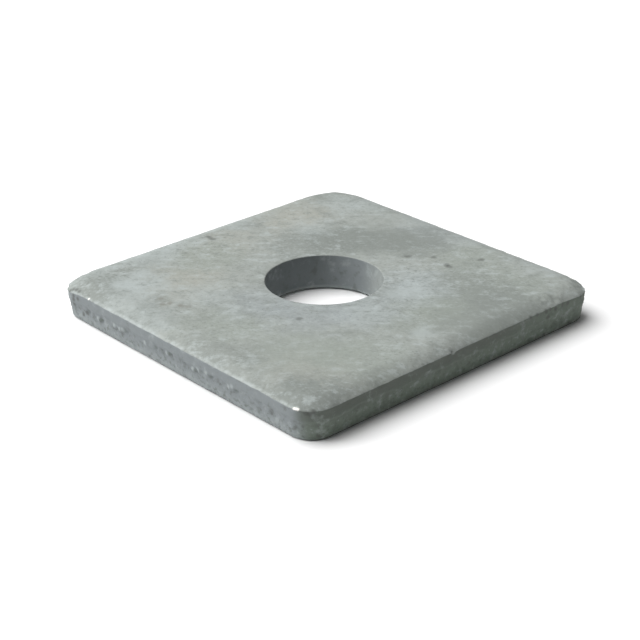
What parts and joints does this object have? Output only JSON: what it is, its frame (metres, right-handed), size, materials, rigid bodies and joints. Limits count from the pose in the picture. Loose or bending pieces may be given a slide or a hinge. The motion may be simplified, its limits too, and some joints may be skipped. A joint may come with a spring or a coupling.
{
  "type": "square plate washer",
  "caption": "Flat square steel plate washer with rounded corners, a rolled top edge and a round bolt hole in the middle; it spreads the load of a bolt or nut over a wide seat.",
  "frame": {"origin": "middle of the underside, on the axis of the bolt hole", "axes": "+Z along the axis of the bolt hole, out of the rolled top face; X and Y along the sides of the square"},
  "size_m": [0.06, 0.06, 0.006],
  "materials": {
    "galvanised_steel": "dull hot-dip galvanised"
  },
  "bodies": {
    "root": {"washer_plate": "galvanised_steel"}
  },
  "joints": []
}
